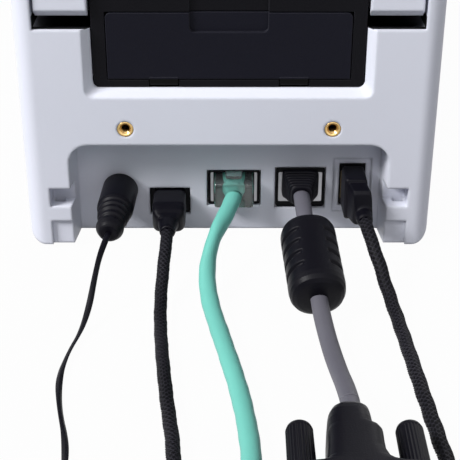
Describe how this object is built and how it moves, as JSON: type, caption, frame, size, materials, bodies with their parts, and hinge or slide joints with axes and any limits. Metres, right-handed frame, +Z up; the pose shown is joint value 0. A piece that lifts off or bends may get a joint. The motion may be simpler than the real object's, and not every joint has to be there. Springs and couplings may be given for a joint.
{
  "type": "thermal label printer",
  "caption": "Desktop thermal label printer with hinged lid, roll compartment, geared platen, rear connector bay and its plugged-in leads.",
  "frame": {"origin": "on the table under the middle of the printer's box, leads left out", "axes": "+Z up, front with the buttons towards -Y, connector side towards +Y, +X to the right seen from the front"},
  "size_m": [0.1416, 0.5294, 0.1551],
  "materials": {
    "white_plastic": "fine satin texture",
    "lid_plastic": "fine satin texture",
    "black_plastic": "fine matte texture",
    "smoked_window": "dark tinted gloss",
    "grey_plastic": "satin",
    "button_plastic": "satin",
    "light_plastic": "frosted",
    "gear_plastic": "smooth",
    "board_green": "lacquered",
    "socket_metal": "plated",
    "socket_black": "satin",
    "steel": "zinc plated",
    "motor_steel": "blackened",
    "brass": "turned",
    "platen_rubber": "ground",
    "foot_rubber": "matte",
    "cord_black": "satin jacket",
    "braid_black": "woven sleeve",
    "cord_teal": "satin jacket",
    "cord_grey": "matte jacket",
    "plug_black": "moulded",
    "plug_clear": "clear moulded",
    "plug_metal": "nickel plated"
  },
  "bodies": {
    "case": {"lower_case": "white_plastic", "base_plate": "black_plastic", "base_screws": "steel", "rubber_feet": "foot_rubber", "brass_inserts": "brass", "inner_tub": "black_plastic", "main_board": "board_green", "dc_jack": "socket_black", "usb_b_socket": "socket_black", "lan_socket": "socket_metal", "serial_socket": "socket_metal", "usb_a_socket": "socket_black", "mechanism_frame": "steel", "platen_bushes": "gear_plastic", "motor": "motor_steel", "control_panel": "grey_plastic", "status_light": "light_plastic", "tear_bar": "steel", "hinge_pins": "steel", "dc_plug": "plug_black", "dc_lead": "cord_black", "dc_coil": "cord_black", "dc_tail": "cord_black", "power_adapter": "plug_black", "usb_b_plug": "plug_black", "usb_b_lead": "braid_black", "usb_b_coil": "braid_black", "usb_b_far_plug": "plug_black", "lan_plug": "plug_clear", "lan_lead": "cord_teal", "lan_coil": "cord_teal", "lan_far_plug": "plug_clear", "serial_plug": "plug_black", "serial_lead_upper": "cord_grey", "ferrite_bead": "plug_black", "serial_lead_lower": "cord_grey", "serial_hood": "plug_black", "serial_metal": "plug_metal", "serial_screws": "plug_black", "usb_a_plug": "plug_black", "usb_a_lead": "braid_black", "usb_a_coil": "braid_black", "usb_a_far_plug": "plug_black"},
    "lid": {"lid_shell": "lid_plastic", "lid_window": "smoked_window", "lid_inner_frame": "black_plastic"},
    "head": {"print_head": "steel"},
    "door": {"rear_door": "black_plastic"},
    "platen": {"platen_shaft": "steel", "platen_rubber": "platen_rubber", "platen_gear": "gear_plastic"},
    "idler": {"idler_gear": "gear_plastic"},
    "motor_rotor": {"motor_pinion": "brass"},
    "right_guide": {"right_media_guide": "grey_plastic"},
    "left_guide": {"left_media_guide": "grey_plastic"},
    "guide_wheel": {"guide_pinion": "gear_plastic"},
    "power_key": {"power_button": "button_plastic"},
    "feed_key": {"feed_button": "button_plastic"},
    "right_catch": {"right_release": "button_plastic"},
    "left_catch": {"left_release": "button_plastic"}
  },
  "joints": [
    {"name": "lid_hinge", "type": "hinge", "parent": "case", "child": "lid", "pos_m": [0, 0.09, 0.083], "axis": [-1, 0, 0], "range_deg": [0, 90]},
    {"name": "head_pivot", "type": "hinge", "parent": "lid", "child": "head", "pos_m": [0, -0.06, 0.096], "axis": [-1, 0, 0], "range_deg": [0, 2.5], "stiffness_Nm_per_rad": 2, "springref_deg": -5.73},
    {"name": "rear_door_hinge", "type": "hinge", "parent": "case", "child": "door", "pos_m": [0, 0.0992, 0.0523], "axis": [-1, 0, 0], "range_deg": [0, 80]},
    {"name": "platen_spin", "type": "hinge", "parent": "case", "child": "platen", "pos_m": [0, -0.076, 0.084], "axis": [1, 0, 0], "continuous": true},
    {"name": "idler_spin", "type": "hinge", "parent": "case", "child": "idler", "pos_m": [0, -0.0647, 0.06183], "axis": [1, 0, 0], "continuous": true},
    {"name": "motor_spin", "type": "hinge", "parent": "case", "child": "motor_rotor", "pos_m": [0, -0.06884, 0.04055], "axis": [1, 0, 0], "continuous": true},
    {"name": "right_guide_slide", "type": "slide", "parent": "case", "child": "right_guide", "axis": [-1, 0, 0], "range_m": [0, 0.018]},
    {"name": "left_guide_slide", "type": "slide", "parent": "case", "child": "left_guide", "axis": [1, 0, 0], "range_m": [0, 0.018]},
    {"name": "guide_pinion_spin", "type": "hinge", "parent": "case", "child": "guide_wheel", "pos_m": [0, 0.016, 0.025], "axis": [0, 0, 1], "range_deg": [0, 172]},
    {"name": "power_button_press", "type": "slide", "parent": "case", "child": "power_key", "axis": [0, 0.9565, -0.2916], "range_m": [0, 0.0008], "stiffness_N_per_m": 800, "springref_m": -0.001},
    {"name": "feed_button_press", "type": "slide", "parent": "case", "child": "feed_key", "axis": [0, 0.9565, -0.2916], "range_m": [0, 0.0008], "stiffness_N_per_m": 800, "springref_m": -0.001},
    {"name": "right_release_press", "type": "slide", "parent": "case", "child": "right_catch", "axis": [-1, 0, 0], "range_m": [0, 0.003], "stiffness_N_per_m": 500, "springref_m": -0.002},
    {"name": "left_release_press", "type": "slide", "parent": "case", "child": "left_catch", "axis": [1, 0, 0], "range_m": [0, 0.003], "stiffness_N_per_m": 500, "springref_m": -0.002}
  ],
  "couplings": [
    {"joint": "idler_spin", "follows": "platen_spin", "ratio": -0.55},
    {"joint": "motor_spin", "follows": "platen_spin", "ratio": 1.5714},
    {"joint": "left_guide_slide", "follows": "right_guide_slide", "ratio": 1},
    {"joint": "guide_pinion_spin", "follows": "right_guide_slide", "rad_per_m": 166.67}
  ]
}
